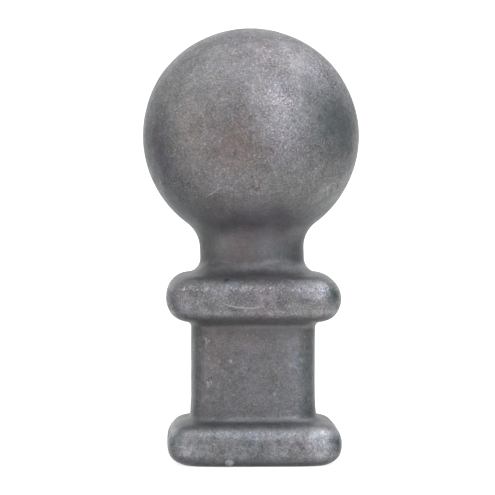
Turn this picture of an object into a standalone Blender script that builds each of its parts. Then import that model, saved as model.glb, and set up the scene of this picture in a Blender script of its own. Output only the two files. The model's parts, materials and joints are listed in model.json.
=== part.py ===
"""Ball finial for an iron fence, cast as one solid piece.

From the bottom it has a square foot with a half-round edge, cut flat below, a square
shank with worn-round corners, a collar like the foot, a short round neck and a ball.
Metres, +Z up, the origin at the centre of the flat underside.
"""

import math

import bmesh
import bpy

# Driving dimensions
BALL_DIAMETER = 0.0500
NECK_DIAMETER = 0.0242
SHANK_WIDTH = 0.0287
COLLAR_WIDTH = 0.0403  # across the flats, over the half-round edge
FOOT_WIDTH = 0.0403  # likewise

FOOT_EDGE_RADIUS = 0.00495
FOOT_CUT = 0.0003  # how much of the foot's half-round edge is cut off flat below
COLLAR_EDGE_RADIUS = 0.0055  # half the collar's height
SHANK_LENGTH = 0.0229  # from the foot's top to the collar's underside
NECK_STRAIGHT = 0.0024  # straight stretch of the neck between its two fillets

BALL_FILLET = 0.0072
COLLAR_TOP_FILLET = 0.0036
COLLAR_UNDER_FILLET = 0.0017
FOOT_FILLET = 0.0018

# Squareness of each cross-section: 2 is a circle, and a larger number is a squarer square
ROUND = 2.0
SHANK_SQUARENESS = 3.9
COLLAR_SQUARENESS = 5.4
FOOT_SQUARENESS = 5.8
CORNER_REACH = 0.55  # share of an edge's overhang over which it turns as square as it gets

# Fineness of the faceted solid
SIDES = 48  # a multiple of 8, so that a vertex lies on every corner and mid-face
ARC_STEP = math.radians(9.0)
FILLET_STEP = math.radians(15.0)

SHANK_HALF = SHANK_WIDTH / 2
NECK_RADIUS = NECK_DIAMETER / 2
BALL_RADIUS = BALL_DIAMETER / 2


def fillet_rise(wall, arc_centre, arc_radius, fillet_radius):
    """Height between the centres of an arc and of the fillet that joins it to an upright wall."""
    return math.sqrt((arc_radius + fillet_radius) ** 2 - (wall + fillet_radius - arc_centre) ** 2)


def arc(centre, radius, start, end, step):
    """Points (half width, height) of an arc. Angle 0 points outwards and 90 degrees up."""
    count = max(2, math.ceil(abs(end - start) / step) + 1)
    angles = [start + (end - start) * i / (count - 1) for i in range(count)]
    return [(centre[0] + radius * math.cos(a), centre[1] + radius * math.sin(a)) for a in angles]


def touch_angle(arc_centre, fillet_centre):
    """Angle at the arc's centre of the point where the arc and a fillet touch."""
    return math.atan2(fillet_centre[1] - arc_centre[1], fillet_centre[0] - arc_centre[0])


def smooth(share):
    """A share from 0 to 1, eased at both ends."""
    return share * share * (3 - 2 * share)


def edge_squareness(half_width, full_half_width, full_squareness):
    """A half-round edge has the shank's squareness at its root and its own further out."""
    share = (half_width - SHANK_HALF) / (full_half_width - SHANK_HALF) / CORNER_REACH
    return SHANK_SQUARENESS + (full_squareness - SHANK_SQUARENESS) * smooth(min(max(share, 0.0), 1.0))


def stations(points, squareness):
    """Adds to each point (half width, height) the squareness of the cross-section there."""
    return [(half_width, height, squareness(half_width)) for half_width, height in points]


def foot_stations():
    """The foot's half-round edge, from the flat underside up, and the fillet into the shank."""
    half = FOOT_WIDTH / 2
    centre = (half - FOOT_EDGE_RADIUS, FOOT_EDGE_RADIUS - FOOT_CUT)
    bottom = -math.asin(centre[1] / FOOT_EDGE_RADIUS)
    rise = fillet_rise(SHANK_HALF, centre[0], FOOT_EDGE_RADIUS, FOOT_FILLET)
    fillet = (SHANK_HALF + FOOT_FILLET, centre[1] + rise)
    touch = touch_angle(centre, fillet)
    lower = arc(centre, FOOT_EDGE_RADIUS, bottom, 0.0, ARC_STEP)
    upper = arc(centre, FOOT_EDGE_RADIUS, 0.0, touch, ARC_STEP)[1:]
    upper += arc(fillet, FOOT_FILLET, touch - math.pi, -math.pi, FILLET_STEP)[1:]
    square = stations(lower, lambda width: FOOT_SQUARENESS)
    return square + stations(upper, lambda width: edge_squareness(width, half, FOOT_SQUARENESS))


def collar_centre():
    """Centre of the collar's half-round edge, as (half width, height)."""
    underside = 2 * FOOT_EDGE_RADIUS - FOOT_CUT + SHANK_LENGTH
    return (COLLAR_WIDTH / 2 - COLLAR_EDGE_RADIUS, underside + COLLAR_EDGE_RADIUS)


def collar_stations():
    """The fillet out of the shank and the collar's half-round edge, up to the neck's fillet."""
    centre = collar_centre()
    half = COLLAR_WIDTH / 2
    rise = fillet_rise(SHANK_HALF, centre[0], COLLAR_EDGE_RADIUS, COLLAR_UNDER_FILLET)
    fillet = (SHANK_HALF + COLLAR_UNDER_FILLET, centre[1] - rise)
    low_touch = touch_angle(centre, fillet)
    high_touch = touch_angle(centre, neck_foot_centre())
    points = arc(fillet, COLLAR_UNDER_FILLET, math.pi, low_touch + math.pi, FILLET_STEP)
    points += arc(centre, COLLAR_EDGE_RADIUS, low_touch, high_touch, ARC_STEP)[1:]
    return stations(points, lambda width: edge_squareness(width, half, COLLAR_SQUARENESS))


def neck_foot_centre():
    """Centre of the fillet that runs from the collar's top up into the neck."""
    centre = collar_centre()
    rise = fillet_rise(NECK_RADIUS, centre[0], COLLAR_EDGE_RADIUS, COLLAR_TOP_FILLET)
    return (NECK_RADIUS + COLLAR_TOP_FILLET, centre[1] + rise)


def neck_foot_stations():
    """The fillet above the collar, where the cross-section turns from square to round."""
    fillet = neck_foot_centre()
    touch = touch_angle(collar_centre(), fillet)
    points = arc(fillet, COLLAR_TOP_FILLET, touch - math.pi, -math.pi, ARC_STEP)
    start = edge_squareness(points[0][0], COLLAR_WIDTH / 2, COLLAR_SQUARENESS)
    last = len(points) - 1
    return [
        (half_width, height, start + (ROUND - start) * smooth(i / last))
        for i, (half_width, height) in enumerate(points)
    ][1:]


def ball_stations():
    """The fillet out of the neck and the ball, short of its top point, and that point's height."""
    fillet = (NECK_RADIUS + BALL_FILLET, neck_foot_centre()[1] + NECK_STRAIGHT)
    ball = (0.0, fillet[1] + fillet_rise(NECK_RADIUS, 0.0, BALL_RADIUS, BALL_FILLET))
    touch = touch_angle(ball, fillet)
    points = arc(fillet, BALL_FILLET, math.pi, touch + math.pi, ARC_STEP)
    points += arc(ball, BALL_RADIUS, touch, math.pi / 2, ARC_STEP)[1:-1]
    return stations(points, lambda width: ROUND), ball[1] + BALL_RADIUS


def ring(mesh, half_width, height, squareness):
    """One cross-section: a superellipse between circle and square, flat in its own plane.

    The squarer it is, the closer its vertices stand at the four corners.
    """
    crowding = 1 - ROUND / squareness
    vertices = []
    for i in range(SIDES):
        turn = 2 * math.pi * i / SIDES
        turn += crowding * math.sin(4 * turn) / 4
        x, y = math.cos(turn), math.sin(turn)
        reach = half_width / (abs(x) ** squareness + abs(y) ** squareness) ** (1 / squareness)
        vertices.append(mesh.verts.new((reach * x, reach * y, height)))
    return vertices


def loft(all_stations, top_height):
    """A closed solid through the cross-sections, flat below and closed to a point on top."""
    mesh = bmesh.new()
    rings = [ring(mesh, *station) for station in all_stations]
    for low, high in zip(rings, rings[1:]):
        for i in range(SIDES):
            j = (i + 1) % SIDES
            mesh.faces.new((low[i], low[j], high[j], high[i]))
    mesh.faces.new(reversed(rings[0]))
    top = mesh.verts.new((0.0, 0.0, top_height))
    for i in range(SIDES):
        mesh.faces.new((rings[-1][i], rings[-1][(i + 1) % SIDES], top))
    bmesh.ops.recalc_face_normals(mesh, faces=mesh.faces)
    return mesh


def iron():
    """Bare dark grey iron with a dull sheen."""
    material = bpy.data.materials.new("bare_iron")
    material.use_nodes = True
    shader = material.node_tree.nodes["Principled BSDF"]
    shader.inputs["Base Color"].default_value = (0.19, 0.185, 0.195, 1.0)
    shader.inputs["Metallic"].default_value = 0.8
    shader.inputs["Roughness"].default_value = 0.5
    return material


def finial():
    """The whole finial as one object."""
    upper, top_height = ball_stations()
    mesh = loft(foot_stations() + collar_stations() + neck_foot_stations() + upper, top_height)
    data = bpy.data.meshes.new("ball_finial")
    mesh.to_mesh(data)
    mesh.free()
    data.shade_smooth()
    data.set_sharp_from_angle(angle=math.radians(40))
    data.materials.append(iron())
    piece = bpy.data.objects.new("ball_finial", data)
    bpy.context.scene.collection.objects.link(piece)
    return piece


def main():
    for old in list(bpy.data.objects):
        bpy.data.objects.remove(old)
    finial()


main()
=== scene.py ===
import json
import math

import bpy
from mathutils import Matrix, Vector

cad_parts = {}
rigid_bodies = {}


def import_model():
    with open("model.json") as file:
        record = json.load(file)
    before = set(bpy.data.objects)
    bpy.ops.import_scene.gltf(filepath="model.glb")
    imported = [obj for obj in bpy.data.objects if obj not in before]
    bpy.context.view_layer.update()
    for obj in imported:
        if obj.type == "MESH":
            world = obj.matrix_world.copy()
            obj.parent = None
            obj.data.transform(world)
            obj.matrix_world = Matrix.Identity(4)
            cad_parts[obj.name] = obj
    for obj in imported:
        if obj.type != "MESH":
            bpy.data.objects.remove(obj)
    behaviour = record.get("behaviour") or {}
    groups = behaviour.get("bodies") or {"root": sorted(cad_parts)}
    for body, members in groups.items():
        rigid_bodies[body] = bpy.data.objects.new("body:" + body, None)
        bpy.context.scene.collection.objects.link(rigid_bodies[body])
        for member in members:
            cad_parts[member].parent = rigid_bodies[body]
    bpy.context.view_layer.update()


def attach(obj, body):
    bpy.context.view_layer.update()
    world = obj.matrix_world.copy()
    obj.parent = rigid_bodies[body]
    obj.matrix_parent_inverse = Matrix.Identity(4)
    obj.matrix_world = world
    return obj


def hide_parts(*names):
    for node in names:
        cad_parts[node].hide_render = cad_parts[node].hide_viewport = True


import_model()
print("frame loaded")


# Nodes written as sums

class Term:
    # A socket that takes part in sums: each operator adds its own Math node

    def __init__(self, board, socket):
        self.board = board
        self.socket = socket

    def math(self, operation, *others):
        return self.board.node("ShaderNodeMath", {"operation": operation}, dict(enumerate((self, *others))))

    def other(self, name):  # another output of the same node
        return Term(self.board, self.socket.node.outputs[name])

    def __add__(self, other):
        return self.math("ADD", other)

    __radd__ = __add__

    def __sub__(self, other):
        return self.math("SUBTRACT", other)

    def __rsub__(self, other):
        return (self * -1) + other

    def __mul__(self, other):
        return self.math("MULTIPLY", other)

    __rmul__ = __mul__

    def __truediv__(self, other):
        return self.math("DIVIDE", other)

    def __rtruediv__(self, other):
        return self.math("POWER", -1) * other

    def __pow__(self, other):
        return self.math("POWER", other)

    def __mod__(self, other):
        return self.math("FLOORED_MODULO", other)


class Board:
    # The nodes of one tree

    def __init__(self, tree):
        self.tree = tree

    def node(self, kind, settings=(), values=(), output=0):
        made = self.tree.nodes.new(kind)
        for name, value in dict(settings).items():
            if name == "stops":
                self.setStops(made.color_ramp, value)
            else:
                setattr(made, name, value)
        for key, value in dict(values).items():
            if isinstance(value, Term):
                self.tree.links.new(value.socket, made.inputs[key])
            else:
                made.inputs[key].default_value = value
        return Term(self, made.outputs[output])

    def setStops(self, ramp, stops):
        while len(ramp.elements) < len(stops):
            ramp.elements.new(1)
        for element, (place, colour) in zip(ramp.elements, stops):
            element.position = place
            element.color = colour

    def ease(self, value, low, high, start=0.0, end=1.0):
        # start below low, end above high, with a soft ramp between
        return self.node("ShaderNodeMapRange", {"interpolation_type": "SMOOTHSTEP"},
                         {"Value": value, "From Min": low, "From Max": high, "To Min": start, "To Max": end})

    def noise(self, place, size, w=0.0, detail=2.0, twist=0.0):
        # 0 to 1, in lumps of about this size in metres
        return self.node("ShaderNodeTexNoise", {"noise_dimensions": "4D"},
                         {"Vector": place, "W": w, "Scale": 1 / size, "Detail": detail, "Distortion": twist})

    def distance(self, place, point):
        return self.node("ShaderNodeVectorMath", {"operation": "DISTANCE"}, {0: place, 1: point}, "Value")

    def mix(self, share, first, second):
        return self.node("ShaderNodeMix", {"data_type": "RGBA"}, {0: share, 6: first, 7: second}, 2)


# Body: an outline of arcs and straights, swept round a cross-section that turns from square to round

bodySizes = {
    "Ball radius": 0.02505,
    "Neck radius": 0.0121,
    "Shank half": 0.01435,
    "Collar half": 0.02018,
    "Foot half": 0.02014,
    "Foot edge": 0.00495,
    "Foot cut": 0.0003,  # how much is cut off flat below the foot's half-round edge
    "Collar edge": 0.0055,
    "Shank length": 0.0229,
    "Neck straight": 0.00235,
    "Ball fillet": 0.0072,
    "Collar top fillet": 0.0036,
    "Collar under fillet": 0.0017,
    "Foot fillet": 0.0018,
    "Corner reach": 0.55,  # share of an edge's overhang in which it turns as square as it gets
    "Shank squareness": 3.9,
    "Collar squareness": 5.4,
    "Foot squareness": 5.8,
    "Foot swell": 0.00018,  # how much fuller the foot's edge is low down
    "Foot swell middle": 0.50,  # where that is, as a share of its arc
    "Foot swell reach": 0.50,  # and how far it reaches to both sides
    "Collar swell": 0.00010,
    "Collar swell middle": 0.22,
    "Collar swell reach": 0.22,
    "Waist swell": 0.00006,  # how much fuller the ball is round its middle
    "Waist swell middle": 0.37,
    "Waist swell reach": 0.20,
    "Ball swell": 0.00017,  # and at its shoulders
    "Ball swell middle": 0.64,
    "Ball swell reach": 0.22,
    "Shank flare": 0.00027,  # how much wider the shank gets just above the foot
    "Flare start low": 0.0081,  # it comes in between these heights
    "Flare start high": 0.0094,
    "Flare end low": 0.0101,  # and fades out between these
    "Flare end high": 0.0151,
    "Ball shift": -0.00037,  # the ball, collar and foot stand a little off the shank's axis
    "Ball shift low": 0.0356,  # comes in between these heights
    "Ball shift high": 0.0596,
    "Ball lean": -0.00016,  # how much further over the ball's top stands
    "Ball lean low": 0.0746,
    "Ball lean high": 0.0916,
    "Collar shift": 0.00004,
    "Collar shift middle": 0.0379,
    "Collar shift near": 0.0050,  # fades out between these distances above and below the middle
    "Collar shift far": 0.0080,
    "Foot shift": 0.00023,
    "Foot shift low": 0.0091,  # fades out between these heights
    "Foot shift high": 0.0121,
    "Wave height": 0.00012,
    "Wave size": 0.011,
    "Wave seed": 4.0,
    "Wave start": 0.0012,  # waves, lumps and pits grow from the flat underside up to this height
    "Lump height": 0.00004,
    "Lump size": 0.0022,
    "Lump seed": 11.0,
    "Pit depth": 0.0003,
    "Pit radius": 0.0005,
    "Nub height": 0.0006,
    "Nub radius": 0.0009,
    "Nub slope start": 0.55,  # its edge slopes down between these shares of its radius
    "Nub slope end": 1.1,
    "Nub start": 0.0006,  # it grows from the flat underside up to this height
    "Sides": 400,
    "Point spacing": 0.00056,  # along the outline
    "Corner crowding": 0.3,  # how much closer the columns of faces stand at the corners
    "Merge distance": 2e-6,  # for the grid's seam and poles
}
roundSquareness = 2.0  # a cross-section with this squareness is a circle
nubPlace = (-0.0058, -0.0187, 0.0011)  # leftover of the casting gate, low on the foot's front
pitPlaces = [
    (-0.0063, -0.0176, 0.0425),
    (0.0127, -0.0190, 0.0402),
    (0.0144, -0.0187, 0.0400),
    (-0.0105, -0.0201, 0.0368),
]


def outlineStretch(board, count, order, halfWidth, height, squareness):
    # loose points of one stretch of the outline, in the plane y = 0
    line = board.node("GeometryNodeMeshLine", {"mode": "OFFSET"}, {"Count": count})
    place = board.node("ShaderNodeCombineXYZ", {}, {"X": halfWidth, "Z": height})
    made = board.node("GeometryNodeSetPosition", {}, {"Geometry": line, "Position": place})
    for name, value in {"order": order, "squareness": squareness}.items():
        made = board.node("GeometryNodeStoreNamedAttribute", {"data_type": "FLOAT", "domain": "POINT"},
                          {"Geometry": made, "Name": name, "Value": value})
    return made


def outlineStretches(board, size):
    # from the centre of the underside up to the ball's top
    index = board.node("GeometryNodeInputIndex")
    stretches = []

    def filletRise(wall, arcCentre, arcRadius, fillet):
        return ((arcRadius + fillet) ** 2 - (wall + fillet - arcCentre) ** 2).math("SQRT")

    def touchAngle(arcCentre, filletCentre):
        return (filletCentre[1] - arcCentre[1]).math("ARCTAN2", filletCentre[0] - arcCentre[0])

    def squareAt(halfWidth, fullHalf, fullSquareness):
        overhang = (fullHalf - size["Shank half"]) * size["Corner reach"]
        share = board.ease(halfWidth, size["Shank half"], size["Shank half"] + overhang)
        return size["Shank squareness"] + (fullSquareness - size["Shank squareness"]) * share

    def addPoint(halfWidth, height, squareness):
        stretches.append(outlineStretch(board, 1, len(stretches), halfWidth, height, squareness))

    def addStraight(halfWidth, low, high, squareness):
        count = ((high - low) / size["Point spacing"]).math("CEIL") + 1
        share = index / (count - 1)
        stretches.append(outlineStretch(board, count, share + len(stretches), halfWidth,
                                        low + (high - low) * share, squareness))

    def addArc(centre, radius, start, end, squareness=roundSquareness, full=None, eased=None, swells=()):
        count = ((end - start).math("ABSOLUTE") * radius / size["Point spacing"]).math("CEIL") + 1
        share = index / (count - 1)
        angle = start + (end - start) * share
        for swell in swells:
            away = (share - size[swell + " middle"]).math("ABSOLUTE")
            radius = radius + size[swell] * board.ease(away, 0.0, size[swell + " reach"], 1.0, 0.0)
        halfWidth = centre[0] + radius * angle.math("COSINE")
        if full:
            squareness = squareAt(halfWidth, *full)
        if eased:
            squareness = board.ease(share, 0.0, 1.0, eased, roundSquareness)
        stretches.append(outlineStretch(board, count, share + len(stretches), halfWidth,
                                        centre[1] + radius * angle.math("SINE"), squareness))

    outward = size["Neck radius"] * 0
    up = outward + math.pi / 2
    inward = outward + math.pi

    foot = (size["Foot half"] - size["Foot edge"], size["Foot edge"] - size["Foot cut"])
    footBottom = (size["Foot cut"] / size["Foot edge"] - 1).math("ARCSINE")
    footRise = filletRise(size["Shank half"], foot[0], size["Foot edge"], size["Foot fillet"])
    footFillet = (size["Shank half"] + size["Foot fillet"], foot[1] + footRise)
    footTouch = touchAngle(foot, footFillet)
    footFull = (size["Foot half"], size["Foot squareness"])

    collar = (size["Collar half"] - size["Collar edge"],
              foot[1] + size["Foot edge"] + size["Shank length"] + size["Collar edge"])
    underRise = filletRise(size["Shank half"], collar[0], size["Collar edge"], size["Collar under fillet"])
    underFillet = (size["Shank half"] + size["Collar under fillet"], collar[1] - underRise)
    underTouch = touchAngle(collar, underFillet)
    collarFull = (size["Collar half"], size["Collar squareness"])

    neckRise = filletRise(size["Neck radius"], collar[0], size["Collar edge"], size["Collar top fillet"])
    neckFillet = (size["Neck radius"] + size["Collar top fillet"], collar[1] + neckRise)
    neckTouch = touchAngle(collar, neckFillet)

    ballFillet = (size["Neck radius"] + size["Ball fillet"], neckFillet[1] + size["Neck straight"])
    ballRise = filletRise(size["Neck radius"], 0.0, size["Ball radius"], size["Ball fillet"])
    ball = (outward, ballFillet[1] + ballRise)
    ballTouch = touchAngle(ball, ballFillet)

    addPoint(0.0, 0.0, size["Foot squareness"])
    addArc(foot, size["Foot edge"], footBottom, outward, squareness=size["Foot squareness"],
           swells=["Foot swell"])
    addArc(foot, size["Foot edge"], outward, footTouch, full=footFull)
    addArc(footFillet, size["Foot fillet"], footTouch + math.pi, inward, full=footFull)
    addStraight(size["Shank half"], footFillet[1], underFillet[1], size["Shank squareness"])
    addArc(underFillet, size["Collar under fillet"], inward, underTouch + math.pi, full=collarFull)
    addArc(collar, size["Collar edge"], underTouch, neckTouch, full=collarFull, swells=["Collar swell"])
    touchWidth = collar[0] + size["Collar edge"] * neckTouch.math("COSINE")
    addArc(neckFillet, size["Collar top fillet"], neckTouch + math.pi, inward,
           eased=squareAt(touchWidth, *collarFull))
    addStraight(size["Neck radius"], neckFillet[1], ballFillet[1], roundSquareness)
    addArc(ballFillet, size["Ball fillet"], inward, ballTouch + math.pi)
    addArc(ball, size["Ball radius"], ballTouch, up, swells=["Waist swell", "Ball swell"])
    return stretches


def bodyTree(ironLook):
    tree = bpy.data.node_groups.new("finialBody", "GeometryNodeTree")
    tree.interface.new_socket("Geometry", in_out="OUTPUT", socket_type="NodeSocketGeometry")
    tree.interface.new_socket("Geometry", in_out="INPUT", socket_type="NodeSocketGeometry")
    for name, value in bodySizes.items():
        kind = "NodeSocketInt" if isinstance(value, int) else "NodeSocketFloat"
        tree.interface.new_socket(name, in_out="INPUT", socket_type=kind)
    board = Board(tree)
    entry = tree.nodes.new("NodeGroupInput")
    size = {name: Term(board, entry.outputs[name]) for name in bodySizes}

    # the outline's points, in order from the underside to the top
    stretches = outlineStretches(board, size)
    joined = tree.nodes.new("GeometryNodeJoinGeometry")
    for stretch in stretches:
        tree.links.new(stretch.socket, joined.inputs[0])

    def attribute(name):
        return board.node("GeometryNodeInputNamedAttribute", {"data_type": "FLOAT"}, {"Name": name})

    outline = board.node("GeometryNodeSortElements", {"domain": "POINT"},
                         {"Geometry": Term(board, joined.outputs[0]), "Sort Weight": attribute("order")})
    rows = board.node("GeometryNodeAttributeDomainSize", {"component": "MESH"}, {"Geometry": outline},
                      "Point Count")

    # a grid with a row for each of those points and a column for each side
    grid = board.node("GeometryNodeMeshGrid", {}, {"Vertices X": size["Sides"] + 1, "Vertices Y": rows})
    index = board.node("GeometryNodeInputIndex")
    row = index % rows
    column = ((index + 0.5) / rows).math("FLOOR")

    def fromOutline(value, kind):
        return board.node("GeometryNodeSampleIndex", {"data_type": kind, "domain": "POINT"},
                          {"Geometry": outline, "Value": value, "Index": row})

    outlinePlace = board.node("ShaderNodeSeparateXYZ", {},
                              {0: fromOutline(board.node("GeometryNodeInputPosition"), "FLOAT_VECTOR")})
    height = outlinePlace.other("Z")
    squareness = fromOutline(attribute("squareness"), "FLOAT")
    turn = column / size["Sides"] * (2 * math.pi)
    crowding = size["Corner crowding"] * (1 - roundSquareness / squareness)
    turn = turn + (turn * 4).math("SINE") * crowding / 4
    x = turn.math("COSINE")
    y = turn.math("SINE")
    spread = x.math("ABSOLUTE") ** squareness + y.math("ABSOLUTE") ** squareness
    reach = outlinePlace / spread ** (1 / squareness)

    def comesIn(name):
        return board.ease(height, size[name + " low"], size[name + " high"])

    def fadesOut(name):
        return board.ease(height, size[name + " low"], size[name + " high"], 1.0, 0.0)

    # the foot, the collar and the ball stand slightly off the shank's axis
    fromCollar = (height - size["Collar shift middle"]).math("ABSOLUTE")
    atCollar = board.ease(fromCollar, size["Collar shift near"], size["Collar shift far"], 1.0, 0.0)
    shift = (comesIn("Ball shift") * size["Ball shift"]
             + comesIn("Ball lean") * size["Ball lean"]
             + atCollar * size["Collar shift"]
             + fadesOut("Foot shift") * size["Foot shift"])
    reach = reach + fadesOut("Flare end") * comesIn("Flare start") * size["Shank flare"]
    place = board.node("ShaderNodeCombineXYZ", {}, {"X": reach * x + shift, "Y": reach * y, "Z": height})
    shell = board.node("GeometryNodeSetPosition", {}, {"Geometry": grid, "Position": place})
    shell = board.node("GeometryNodeMergeByDistance", {},
                       {"Geometry": shell, "Distance": size["Merge distance"]})

    # casting waves, lumps, pits and the gate's nub, none of them on the flat underside
    here = board.node("GeometryNodeInputPosition")
    hereHeight = board.node("ShaderNodeSeparateXYZ", {}, {0: here}).other("Z")

    def uneven(name):  # up and down by the height of that name
        lumps = board.noise(here, size[name + " size"], size[name + " seed"]) - 0.5
        return lumps * 2 * size[name + " height"]

    rise = uneven("Wave") + uneven("Lump")
    for pit in pitPlaces:
        hollow = board.ease(board.distance(here, pit), 0.0, size["Pit radius"], 1.0, 0.0)
        rise = rise - hollow * size["Pit depth"]
    rise = rise * board.ease(hereHeight, 0.0, size["Wave start"])
    fromNub = board.distance(here, nubPlace) / size["Nub radius"]
    nub = board.ease(fromNub, size["Nub slope start"], size["Nub slope end"], 1.0, 0.0) * size["Nub height"]
    rise = rise + nub * board.ease(hereHeight, 0.0, size["Nub start"])
    normal = board.node("GeometryNodeInputNormal")
    offset = board.node("ShaderNodeVectorMath", {"operation": "SCALE"}, {0: normal, "Scale": rise})
    shell = board.node("GeometryNodeSetPosition", {}, {"Geometry": shell, "Offset": offset})
    shell = board.node("GeometryNodeSetShadeSmooth", {}, {"Geometry": shell})
    shell = board.node("GeometryNodeRealizeInstances", {}, {"Geometry": shell})
    shell = board.node("GeometryNodeSetMaterial", {}, {"Geometry": shell, "Material": ironLook})
    exitNode = tree.nodes.new("NodeGroupOutput")
    tree.links.new(shell.socket, exitNode.inputs[0])
    return tree


def makeBody(ironLook):
    start = bpy.data.meshes.new("finialBody")
    body = bpy.data.objects.new("finialBody", start)
    bpy.context.scene.collection.objects.link(body)
    modifier = body.modifiers.new("body", "NODES")
    modifier.node_group = bodyTree(ironLook)
    for socket in modifier.node_group.interface.items_tree:
        if socket.in_out == "INPUT" and socket.name in bodySizes:
            modifier[socket.identifier] = bodySizes[socket.name]
    evaluated = body.evaluated_get(bpy.context.evaluated_depsgraph_get())
    made = bpy.data.meshes.new_from_object(evaluated)
    body.modifiers.clear()
    body.data = made
    made.name = "finialBody"
    print("body:", len(made.vertices), "vertices,", len(made.polygons), "faces")
    return body


# Iron

# How big the lumps of each noise are, in metres
ironSizes = {
    "cloud": 0.013,
    "stain": 0.0042,
    "mottle": 0.0015,
    "grain": 0.00080,
    "speck": 0.00036,
    "fleck": 0.00055,
}

# How strongly each lightens and darkens the iron
ironContrast = {
    "cloud": 0.9,
    "stain": 0.45,
    "mottle": 0.52,
    "grain": 0.28,
    "speck": 0.62,
    "stroke": 0.33,
    "fleck": 0.35,
    "level": 0.06,  # taken off again for the light that strokes and flecks add
}

ironFinish = {
    "steel": (0.488, 0.504, 0.512, 1),
    "brown": (0.520, 0.494, 0.498, 1),
    "brown range": (-0.16, 0.16),  # steel turns to brown between these values of its noise
    "stain drift": 0.11,  # how far red and blue drift by themselves, in lumps as big as stains
    "mottle drift": 0.14,  # and in lumps as big as the mottle's
    "green drift": 0.6,  # green drifts by this share of that
    "stroke range": (0.0, 0.06),  # a stroke fades out between these values of the grain
    "stroke break": (-0.12, 0.14),  # and comes in between these of the specks
    "fleck range": (0.66, 0.80),  # a fleck comes in between these values of its noise
    "hidden range": (-0.010, 0.004),  # places on Y between which the clouds grow, from front to back
    "front clouds": 0.3,  # how strong they still are on the front
    "patch core": 0.1,  # share of a patch's reach that has the full tint, unless it gives its own
    "stain wander": 0.004,  # how far stains and clouds make the patches' edges wander
    "cloud wander": 0.006,
    "wander edge": 0.0045,  # a patch whose soft edge is narrower than this wanders less
    "scratch": (0.95, 0.95, 0.95, 1),
    "scratch edge": (0.4, 2.2),  # a scratch fades out between these shares of its half width
    "rough": 0.52,
    "rough grain": 0.25,  # how much rougher the grain makes it
    "rough stain": 0.1,  # and how much smoother a light stain does
    "bump depth": 0.00006,
    "bump grain": 0.6,
    "bump speck": 0.4,
}

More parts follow.
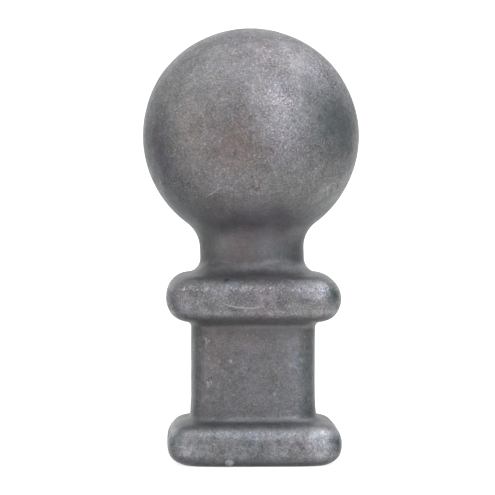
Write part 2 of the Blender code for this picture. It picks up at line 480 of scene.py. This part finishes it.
# Broad places that are lighter, darker or more tinted than the rest: centre, reach and what they
# multiply the colour by. Most are painted light: painted highlights, painted shade and painted dark
# reflections; the rust, brown and grey tints, scuffs and flecks are the iron's own colour and wear.
# Grain is how much stronger the fine grain is there, or weaker below zero; in the painted highlights
# it paints their sparkle. Core is the share of the reach that has the full tint.
paintedLightAndStains = {
    # the iron's own rust and tints on the ball
    "ball rust": {"place": (-0.0037, -0.0246, 0.0723), "reach": 0.0100, "tint": (1.10, 0.98, 0.94)},
    "ball upper brown": {"place": (-0.0020, -0.0225, 0.0860), "reach": 0.0130, "tint": (1.04, 1.00, 0.99)},
    "ball low brown": {"place": (-0.0085, -0.0172, 0.0585), "reach": 0.0062, "tint": (0.98, 0.92, 0.93)},
    "ball low right grey": {"place": (0.0066, -0.0190, 0.0615), "reach": 0.0090, "tint": (0.96, 1.01, 0.97)},
    # painted light along the ball's low right rim
    "ball low right edge": {"place": (0.0172, -0.0118, 0.0610), "reach": 0.0075, "tint": (1.20, 1.20, 1.20)},
    # two scuffs, the iron's own wear
    "ball low streak": {"place": (-0.0052, -0.0217, 0.0641), "reach": 0.0022, "tint": (1.10, 1.11, 1.11),
                        "grain": 0.5},
    "ball low speckle": {"place": (0.0003, -0.0218, 0.0634), "reach": 0.0026, "tint": (1.08, 1.08, 1.08),
                         "grain": 0.5},
    # painted shade under the ball, painted highlights and painted shade round it, and a painted dark
    # reflection on its right
    "ball under right": {"place": (0.0047, -0.0170, 0.0572), "reach": 0.0046, "tint": (0.82, 0.82, 0.82)},
    "ball left glow": {"place": (-0.0138, -0.0205, 0.0762), "reach": 0.0095, "tint": (1.13, 1.13, 1.09)},
    "ball left shade": {"place": (-0.0225, -0.0110, 0.0750), "reach": 0.0085, "tint": (0.84, 0.80, 0.84),
                        "grain": -0.3},
    "ball lower left": {"place": (-0.0207, -0.0122, 0.0686), "reach": 0.0060, "tint": (0.89, 0.86, 0.90),
                        "grain": -0.3},
    "ball right glow": {"place": (0.0068, -0.0240, 0.0750), "reach": 0.0076, "tint": (1.23, 1.22, 1.26),
                        "grain": 0.15},
    "ball high glow": {"place": (0.0064, -0.0226, 0.0842), "reach": 0.0064, "tint": (0.97, 0.96, 0.99),
                       "grain": 0.7},
    "ball right side": {"place": (0.0110, -0.0222, 0.0712), "reach": 0.0080, "tint": (1.06, 1.06, 1.06)},
    "ball right dark reflection": {"place": (0.0194, -0.0155, 0.0778), "reach": 0.0090, "tint": (0.77, 0.83, 0.83),
                        "grain": -0.4},
    "ball upper right": {"place": (0.0168, -0.0114, 0.0888), "reach": 0.0100, "tint": (1.26, 1.25, 1.29),
                         "grain": 0.45},
    "ball upper left": {"place": (-0.0110, -0.0168, 0.0900), "reach": 0.0080, "tint": (1.06, 1.06, 1.06)},
    "ball top dark": {"place": (0.0048, -0.0172, 0.0928), "reach": 0.0080, "tint": (0.88, 0.86, 0.87),
                      "grain": 0.3},
    "ball middle dark": {"place": (-0.0084, -0.0233, 0.0756), "reach": 0.0105, "tint": (0.91, 0.90, 0.91)},
    # painted light round the low scuffs, partly their wear
    "ball low glow": {"place": (-0.0048, -0.0221, 0.0647), "reach": 0.0085, "tint": (1.14, 1.14, 1.14)},
    # painted shade low on the ball and under it
    "ball low dark": {"place": (0.0084, -0.0200, 0.0629), "reach": 0.0065, "tint": (0.93, 0.92, 0.91)},
    "ball under": {"place": (0.0017, -0.0164, 0.0565), "reach": 0.0120, "tint": (0.86, 0.82, 0.87)},
    # painted highlights and painted shade on the neck; only the brown is the iron's own colour
    "neck left glow": {"place": (-0.0075, -0.0120, 0.0457), "reach": 0.0030, "tint": (1.12, 1.12, 1.12)},
    "neck low dark": {"place": (0.0006, -0.0128, 0.0452), "reach": 0.0030, "tint": (0.84, 0.83, 0.84)},
    "neck brown": {"place": (-0.0014, -0.0121, 0.0489), "reach": 0.0050, "tint": (1.10, 1.01, 0.99)},
    "neck middle": {"place": (-0.0019, -0.0130, 0.0526), "reach": 0.0034, "tint": (1.13, 1.13, 1.11)},
    "neck left dark": {"place": (-0.0070, -0.0125, 0.0536), "reach": 0.0032, "tint": (0.83, 0.83, 0.84)},
    "neck right dark": {"place": (0.0062, -0.0120, 0.0546), "reach": 0.0036, "tint": (0.86, 0.85, 0.85)},
    "neck right glow": {"place": (0.0082, -0.0112, 0.0454), "reach": 0.0036, "tint": (1.52, 1.53, 1.55)},
    "neck low left": {"place": (-0.0112, -0.0090, 0.0454), "reach": 0.0034, "tint": (0.80, 0.80, 0.80)},
    # painted highlights, painted shade and a painted dark reflection on the collar, painted shade in its pit
    # and painted light beside it; only the brown is the iron's own colour
    "collar top glow": {"place": (0.0116, -0.0190, 0.0407), "reach": 0.0034, "tint": (1.05, 1.07, 1.12)},
    "collar right shade": {"place": (0.0101, -0.0197, 0.0383), "reach": 0.0036, "tint": (0.83, 0.82, 0.84)},
    "collar left light": {"place": (-0.0146, -0.0195, 0.0400), "reach": 0.0026, "tint": (1.12, 1.13, 1.13)},
    "collar brown": {"place": (0.0029, -0.0200, 0.0375), "reach": 0.0080, "tint": (1.03, 0.98, 1.01)},
    "collar low right": {"place": (0.0152, -0.0176, 0.0344), "reach": 0.0034, "tint": (1.26, 1.22, 1.24)},
    "collar right glow": {"place": (0.0156, -0.0184, 0.0402), "reach": 0.0036, "tint": (1.42, 1.46, 1.56),
                          "grain": 0.3},
    "collar right dark reflection": {"place": (0.0183, -0.0167, 0.0393), "reach": 0.0042, "tint": (0.60, 0.72, 0.71)},
    "collar left shade": {"place": (-0.0184, -0.0165, 0.0382), "reach": 0.0034, "tint": (0.81, 0.82, 0.86)},
    "collar left glow": {"place": (-0.0155, -0.0185, 0.0371), "reach": 0.0028, "tint": (1.12, 1.19, 1.22)},
    "shade in the collar pit": {"place": pitPlaces[0], "reach": 0.0008, "tint": (0.45, 0.45, 0.45)},
    "beside the pit": {"place": (-0.0049, -0.0188, 0.0417), "reach": 0.0022, "tint": (1.10, 1.13, 1.22)},
    # the iron's own tint at the shank's top
    "shank top": {"place": (-0.0010, -0.0143, 0.0300), "reach": 0.0060, "tint": (1.06, 1.00, 0.99)},
    # painted light, a painted teal reflection and painted shade on the shank
    "shank right light": {"place": (0.0092, -0.0141, 0.0238), "reach": 0.0038, "tint": (1.20, 1.24, 1.32)},
    "shank right teal reflection": {"place": (0.0128, -0.0125, 0.0235), "reach": 0.0050, "tint": (0.98, 1.06, 1.05)},
    "shank middle light": {"place": (-0.0018, -0.0144, 0.0250), "reach": 0.0055, "tint": (1.12, 1.11, 1.12)},
    "shank high left": {"place": (-0.0099, -0.0142, 0.0268), "reach": 0.0045, "tint": (0.88, 0.87, 0.88)},
    "shank right edge": {"place": (0.0129, -0.0128, 0.0186), "reach": 0.0055, "tint": (1.10, 1.11, 1.11)},
    "shank left shade": {"place": (-0.0126, -0.0125, 0.0200), "reach": 0.0065, "tint": (0.89, 0.88, 0.92)},
    # scuffs and flecks, the iron's own wear
    "shank high scuff": {"place": (-0.0108, -0.0130, 0.0286), "reach": 0.0014, "tint": (1.42, 1.43, 1.43),
                         "grain": 3.0},
    "shank low scuff": {"place": (-0.0105, -0.0131, 0.0189), "reach": 0.0018, "tint": (1.36, 1.35, 1.32),
                        "grain": 3.0},
    "shank low fleck": {"place": (0.0046, -0.0144, 0.0164), "reach": 0.0006, "tint": (1.70, 1.70, 1.70),
                        "core": 0.5},
    "shank high fleck": {"place": (-0.0054, -0.0144, 0.0239), "reach": 0.0006, "tint": (1.60, 1.60, 1.60),
                         "core": 0.5},
    # painted highlights, painted shade and a painted dark reflection on the foot, a painted shadow under the
    # nub and painted light on the nub itself; only the grey is the iron's own colour
    "foot left glow": {"place": (-0.0158, -0.0188, 0.0048), "reach": 0.0060, "tint": (1.22, 1.26, 1.27)},
    "foot grey": {"place": (0.0, -0.0200, 0.0050), "reach": 0.0300, "tint": (0.97, 1.00, 1.01)},
    "foot left shade": {"place": (-0.0158, -0.0172, 0.0084), "reach": 0.0046, "tint": (0.70, 0.70, 0.72)},
    "foot low left": {"place": (-0.0142, -0.0180, 0.0022), "reach": 0.0050, "tint": (1.22, 1.22, 1.22)},
    "foot low right": {"place": (0.0060, -0.0187, 0.0016), "reach": 0.0070, "tint": (1.17, 1.17, 1.17)},
    "foot top right dark": {"place": (0.0090, -0.0187, 0.0074), "reach": 0.0030, "tint": (0.86, 0.86, 0.87)},
    "foot top left": {"place": (-0.0063, -0.0185, 0.0078), "reach": 0.0030, "tint": (1.15, 1.18, 1.22)},
    "foot top light": {"place": (-0.0003, -0.0190, 0.0077), "reach": 0.0038, "tint": (1.12, 1.15, 1.20)},
    "foot low right glow": {"place": (0.0144, -0.0188, 0.0036), "reach": 0.0058, "tint": (1.38, 1.38, 1.38)},
    "foot right glow": {"place": (0.0155, -0.0190, 0.0056), "reach": 0.0056, "tint": (1.26, 1.31, 1.35),
                        "grain": 0.3},
    "foot right dark reflection": {"place": (0.0187, -0.0160, 0.0054), "reach": 0.0032, "tint": (0.74, 0.84, 0.84)},
    "foot low dark": {"place": (-0.0011, -0.0196, 0.0027), "reach": 0.0085, "tint": (0.86, 0.88, 0.89)},
    "under the nub": {"place": (-0.0040, -0.0188, 0.0015), "reach": 0.0034, "tint": (0.66, 0.66, 0.67)},
    "light on the gate nub": {"place": (-0.0058, -0.0190, 0.0010), "reach": 0.0013, "tint": (1.75, 1.75, 1.75),
                 "core": 0.75},
}

# Fine scratches: the points they run through, half width and how light they are
ironScratches = [
    {"points": [(-0.0081, -0.0200, 0.0379), (-0.0070, -0.0200, 0.0373), (-0.0057, -0.0200, 0.0369),
                (-0.0044, -0.0200, 0.0366), (-0.0022, -0.0200, 0.0363), (-0.0003, -0.0200, 0.0363),
                (0.0010, -0.0200, 0.0366)], "half": 0.00011, "light": 1.0},
    {"points": [(0.0006, -0.0200, 0.0377), (0.0022, -0.0200, 0.0362), (0.0028, -0.0198, 0.0352)],
     "half": 0.00009, "light": 0.60},
    {"points": [(-0.0104, -0.0187, 0.0619), (-0.0097, -0.0194, 0.0622), (-0.0088, -0.0201, 0.0628),
                (-0.0077, -0.0209, 0.0635)], "half": 0.00014, "light": 0.60},
    {"points": [(0.0062, -0.0143, 0.0125), (0.0104, -0.0139, 0.0124)], "half": 0.00008, "light": 0.30},
]

# By height: how bright the iron is, how strong its grain and how strong its stains. The brightness
# is painted shade, dark in the creases, under the ball and along the bottom, and painted light on
# the edges of the foot and collar, partly also wear; the grain and stains are smooth in the creases
# and strong on the edges. A ramp holds 32 stops, so there are two
footTones = [
    (0.0, 0.46, 0.7, 1.0),
    (0.0012, 0.80, 0.8, 1.1),
    (0.0022, 0.86, 1.0, 1.3),
    (0.0029, 1.09, 1.1, 1.7),  # low edge of the foot
    (0.0046, 1.11, 1.1, 1.7),
    (0.0059, 0.84, 1.1, 1.7),
    (0.0067, 0.93, 1.1, 1.7),
    (0.0075, 1.20, 1.2, 1.7),  # high edge of the foot
    (0.0080, 1.14, 1.1, 1.6),
    (0.0086, 0.83, 0.7, 1.1),
    (0.0099, 0.58, 0.5, 0.7),
    (0.0104, 0.73, 0.6, 0.8),
    (0.0109, 0.79, 0.8, 1.0),
    (0.0120, 0.77, 0.8, 1.0),
    (0.0152, 0.87, 0.85, 1.0),
]
upperTones = [  # these go on from the middle of the shank
    (0.0250, 0.87, 0.8, 1.0),
    (0.0283, 0.91, 0.8, 0.9),
    (0.0303, 0.77, 0.6, 0.8),
    (0.0313, 0.79, 0.5, 0.6),
    (0.0323, 0.92, 0.4, 0.6),
    (0.0330, 0.78, 0.5, 0.6),
    (0.0338, 0.79, 0.8, 0.8),
    (0.0344, 1.05, 1.1, 1.1),
    (0.0351, 1.33, 1.2, 1.2),  # low edge of the collar
    (0.0359, 1.12, 1.2, 1.3),
    (0.0373, 1.19, 1.2, 1.35),
    (0.0386, 1.05, 1.15, 1.35),
    (0.0397, 0.84, 1.15, 1.35),
    (0.0405, 1.06, 2.1, 1.35),  # high edge of the collar
    (0.0412, 0.92, 1.3, 1.3),
    (0.0424, 0.80, 0.9, 1.0),
    (0.0431, 0.71, 0.5, 0.6),
    (0.0437, 0.73, 0.4, 0.5),
    (0.0451, 0.96, 0.6, 0.6),
    (0.0458, 0.82, 0.6, 0.6),
    (0.0466, 0.67, 0.6, 0.6),
    (0.0476, 0.75, 0.5, 0.5),
    (0.0497, 0.82, 0.5, 0.5),
    (0.0545, 0.86, 0.4, 0.45),
    (0.0585, 0.93, 0.7, 0.6),
    (0.0625, 1.03, 1.15, 1.0),
]


def ironMaterial():
    look = bpy.data.materials.new("bareIron")
    look.use_nodes = True
    board = Board(look.node_tree)
    shader = look.node_tree.nodes["Principled BSDF"]
    place = board.node("ShaderNodeTexCoord", output="Object")
    sides = board.node("ShaderNodeSeparateXYZ", {}, {0: place})
    depth, height = sides.other("Y"), sides.other("Z")

    def vector(operation, *values, output=0):
        return board.node("ShaderNodeVectorMath", {"operation": operation}, dict(enumerate(values)), output)

    def tinted(colour, share, light):
        return board.node("ShaderNodeMix",
                          {"data_type": "RGBA", "blend_type": "MULTIPLY", "clamp_result": False},
                          {0: share, 6: colour, 7: light}, 2)

    def toneRamp(tones):
        top = tones[-1][0]
        stops = [(level / top, (*strengths, 1)) for level, *strengths in tones]
        return board.node("ShaderNodeValToRGB", {"stops": stops}, {0: height / top})

    # each noise has its own w, so that none repeats another
    cloud = board.noise(place, ironSizes["cloud"], w=1.0, detail=1.0) - 0.5
    stain = board.noise(place, ironSizes["stain"], w=2.0, detail=1.0) - 0.5
    mottle = board.noise(place, ironSizes["mottle"], w=3.0, detail=1.0) - 0.5
    grain = board.noise(place, ironSizes["grain"], w=4.0, detail=0.0, twist=1.2) - 0.5
    speck = board.noise(place, ironSizes["speck"], w=5.0, detail=0.0) - 0.5
    tint = board.noise(place, ironSizes["cloud"], w=6.0, detail=2.0) - 0.5

    # the front has its own patches of painted light and stains, and the hidden sides get clouds
    hidden = board.ease(depth, *ironFinish["hidden range"], ironFinish["front clouds"], 1.0)
    # brightness by height: painted shade in the creases and under the ball, painted light on the edges,
    # partly wear
    upperShare = height.math("GREATER_THAN", upperTones[0][0])
    byHeight = board.mix(upperShare, toneRamp(footTones), toneRamp(upperTones))
    tone = board.node("ShaderNodeSeparateXYZ", {}, {0: byHeight})
    grainy, stained = tone.other("Y"), tone.other("Z")

    brownShare = board.ease(tint * hidden, *ironFinish["brown range"])
    colour = board.mix(brownShare, ironFinish["steel"], ironFinish["brown"])

    # faint purple, teal and brown: each channel drifts by itself
    for name, w in (("stain", 7.0), ("mottle", 8.0)):
        drift = board.noise(place, ironSizes[name], w, detail=1.0).other("Color")
        strength = ironFinish[name + " drift"]
        strengths = (strength, strength * ironFinish["green drift"], strength)
        drift = vector("MULTIPLY_ADD", drift, strengths, tuple(1 - each / 2 for each in strengths))
        colour = vector("MULTIPLY", colour, drift)

    ragged = stain * ironFinish["stain wander"] + cloud * ironFinish["cloud wander"]
    # painted highlights, painted shade and painted reflections, and the stains: each patch multiplies the
    # colour
    for patch in paintedLightAndStains.values():
        reach = patch["reach"]
        core = patch.get("core", ironFinish["patch core"])
        wander = min(1, reach * (1 - core) / ironFinish["wander edge"])
        away = board.distance(place, patch["place"]) + ragged * wander
        share = board.ease(away, reach * core, reach, 1.0, 0.0)
        colour = tinted(colour, share, (*patch["tint"], 1))
        if "grain" in patch:
            grainy = grainy * (share * patch["grain"] + 1)

    # short light strokes: the grain's zero lines, broken up by the specks
    stroke = board.ease(grain.math("ABSOLUTE"), *ironFinish["stroke range"], 1.0, 0.0)
    stroke = stroke * board.ease(speck, *ironFinish["stroke break"])
    fleck = board.noise(place, ironSizes["fleck"], w=9.0, detail=0.0)
    fleck = board.ease(fleck, *ironFinish["fleck range"])
    broad = stain * ironContrast["stain"] + mottle * ironContrast["mottle"]
    fine = (grain * ironContrast["grain"] + speck * ironContrast["speck"]
            + stroke * ironContrast["stroke"] + fleck * ironContrast["fleck"] - ironContrast["level"])
    relief = cloud * hidden * ironContrast["cloud"] + broad * stained + fine * grainy
    # painted shade and light by height, times the stains and grain
    light = tone * (relief + 1)
    grey = board.node("ShaderNodeCombineXYZ", {}, {"X": light, "Y": light, "Z": light})
    colour = tinted(colour, 1.0, grey)

    # scratches: distance from the lines between their points
    scratched = None
    for scratch in ironScratches:
        for start, end in zip(scratch["points"], scratch["points"][1:]):
            along = Vector(end) - Vector(start)
            away = vector("SUBTRACT", place, start)
            share = vector("DOT_PRODUCT", away, along / along.length_squared, output="Value")
            share = board.node("ShaderNodeClamp", {}, {0: share})
            nearest = board.node("ShaderNodeVectorMath", {"operation": "SCALE"}, {0: along, "Scale": share})
            offset = vector("DISTANCE", away, nearest, output="Value")
            inner, outer = (scratch["half"] * edge for edge in ironFinish["scratch edge"])
            line = board.ease(offset, inner, outer, scratch["light"], 0.0)
            scratched = line if scratched is None else scratched.math("MAXIMUM", line)
    colour = board.mix(scratched, colour, ironFinish["scratch"])

    board.tree.links.new(colour.socket, shader.inputs["Base Color"])
    shader.inputs["Metallic"].default_value = 1.0
    rough = ironFinish["rough"] + grain * ironFinish["rough grain"] - stain * ironFinish["rough stain"]
    board.tree.links.new(rough.socket, shader.inputs["Roughness"])
    bumps = grain * ironFinish["bump grain"] + speck * ironFinish["bump speck"]
    bump = board.node("ShaderNodeBump", {},
                      {"Strength": 1.0, "Distance": ironFinish["bump depth"], "Height": bumps}, "Normal")
    board.tree.links.new(bump.socket, shader.inputs["Normal"])
    return look


# Stage

shot = {
    "place": (-0.01742, -0.65732, 0.07102),
    "aim": (-0.00119, 0.00003, 0.04936),
    "lens": 205.5,
    "sensor": 36.0,
    "near": 0.01,
}

# Flat out to the radius, then a quarter round up to the rise, then upright up to the height
paleFloor = {
    "radius": 1.2,
    "rise": 1.2,
    "height": 1.6,
    "steps": 24,  # rings in the flat, and as many in the quarter round
    "sides": 96,
    "colour": (0.86, 0.86, 0.86, 1),
    "rough": 0.9,
    "glow": 0.8,
}

skyLight = (0.20, 0.21, 0.22)

# Far soft lamps: degrees above the floor, degrees round from the camera's side towards +X,
# how wide the lamp looks in degrees, and its light
lamps = {
    "top": {"up": 90, "round": 0, "wide": 75, "light": (0.40, 0.37, 0.40)},
    "topRight": {"up": 45, "round": 45, "wide": 75, "light": (0.24, 0.29, 0.30)},
    "topLeft": {"up": 45, "round": 270, "wide": 75, "light": (0.30, 0.30, 0.29)},
    "topBack": {"up": 60, "round": 120, "wide": 30, "light": (0.34, 0.33, 0.35)},
    "key": {"up": 30, "round": 30, "wide": 30, "light": (0.42, 0.38, 0.42)},
    "back": {"up": 0, "round": 180, "wide": 75, "light": (0.98, 1.00, 0.98)},
    "frontLeft": {"up": 0, "round": 315, "wide": 75, "light": (0.24, 0.19, 0.18)},
    "lowRight": {"up": -45, "round": 45, "wide": 75, "light": (0.36, 0.34, 0.34)},
    "lowLeft": {"up": -30, "round": 300, "wide": 30, "light": (0.12, 0.11, 0.11)},
    "lowBack": {"up": -30, "round": 120, "wide": 30, "light": (0.11, 0.11, 0.10)},
}


def makeCamera():
    data = bpy.data.cameras.new("shot")
    data.lens = shot["lens"]
    data.sensor_width = shot["sensor"]
    data.clip_start = shot["near"]
    camera = bpy.data.objects.new("shot", data)
    bpy.context.scene.collection.objects.link(camera)
    camera.location = shot["place"]
    camera.rotation_euler = (Vector(shot["aim"]) - Vector(shot["place"])).to_track_quat("-Z", "Y").to_euler()
    bpy.context.scene.camera = camera


def makeStage():
    look = bpy.data.materials.new("paleFloor")
    look.use_nodes = True
    shader = look.node_tree.nodes["Principled BSDF"]
    shader.inputs["Base Color"].default_value = paleFloor["colour"]
    shader.inputs["Roughness"].default_value = paleFloor["rough"]
    shader.inputs["Specular IOR Level"].default_value = 0.0
    shader.inputs["Emission Color"].default_value = (1, 1, 1, 1)
    shader.inputs["Emission Strength"].default_value = paleFloor["glow"]
    steps, sides = paleFloor["steps"], paleFloor["sides"]
    rings = []
    for i in range(1, steps + 1):
        rings.append((paleFloor["radius"] * i / steps, 0.0))
    for i in range(1, steps + 1):
        angle = math.pi / 2 * i / steps
        rings.append((paleFloor["radius"] + paleFloor["rise"] * math.sin(angle),
                      paleFloor["rise"] * (1 - math.cos(angle))))
    rings.append((rings[-1][0], paleFloor["height"]))
    points = [(0.0, 0.0, 0.0)]
    faces = []
    for k, (radius, height) in enumerate(rings):
        for i in range(sides):
            turn = 2 * math.pi * i / sides
            points.append((radius * math.cos(turn), radius * math.sin(turn), height))
        for i in range(sides):
            j = (i + 1) % sides
            if k == 0:
                faces.append((0, 1 + i, 1 + j))
            else:
                low = 1 + (k - 1) * sides
                faces.append((low + i, low + sides + i, low + sides + j, low + j))
    mesh = bpy.data.meshes.new("paleFloor")
    mesh.from_pydata(points, [], faces)
    mesh.shade_smooth()
    mesh.materials.append(look)
    floor = bpy.data.objects.new("paleFloor", mesh)
    bpy.context.scene.collection.objects.link(floor)
    # the lamps and the sky light the iron, and the floor neither mirrors in it nor shades it
    floor.visible_glossy = False
    floor.visible_diffuse = False
    floor.visible_shadow = False


def makeLamps():
    for name, lamp in lamps.items():
        data = bpy.data.lights.new(name, "SUN")
        data.angle = math.radians(lamp["wide"])
        data.energy = max(lamp["light"])
        data.color = [channel / max(lamp["light"]) for channel in lamp["light"]]
        light = bpy.data.objects.new(name, data)
        bpy.context.scene.collection.objects.link(light)
        up, turn = math.radians(lamp["up"]), math.radians(lamp["round"])
        towards = Vector((math.sin(turn) * math.cos(up), -math.cos(turn) * math.cos(up), math.sin(up)))
        light.rotation_euler = towards.to_track_quat("Z", "Y").to_euler()


def makeAir():
    world = bpy.data.worlds.new("air")
    world.use_nodes = True
    world.node_tree.nodes["Background"].inputs["Color"].default_value = (*skyLight, 1)
    world.node_tree.nodes["Background"].inputs["Strength"].default_value = 1.0
    bpy.context.scene.world = world
    bpy.context.scene.view_settings.view_transform = "Standard"


makeCamera()
makeStage()
makeLamps()
makeAir()
print("camera, stage and lamps made")

body = makeBody(ironMaterial())
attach(body, "root")
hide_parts("ball_finial")
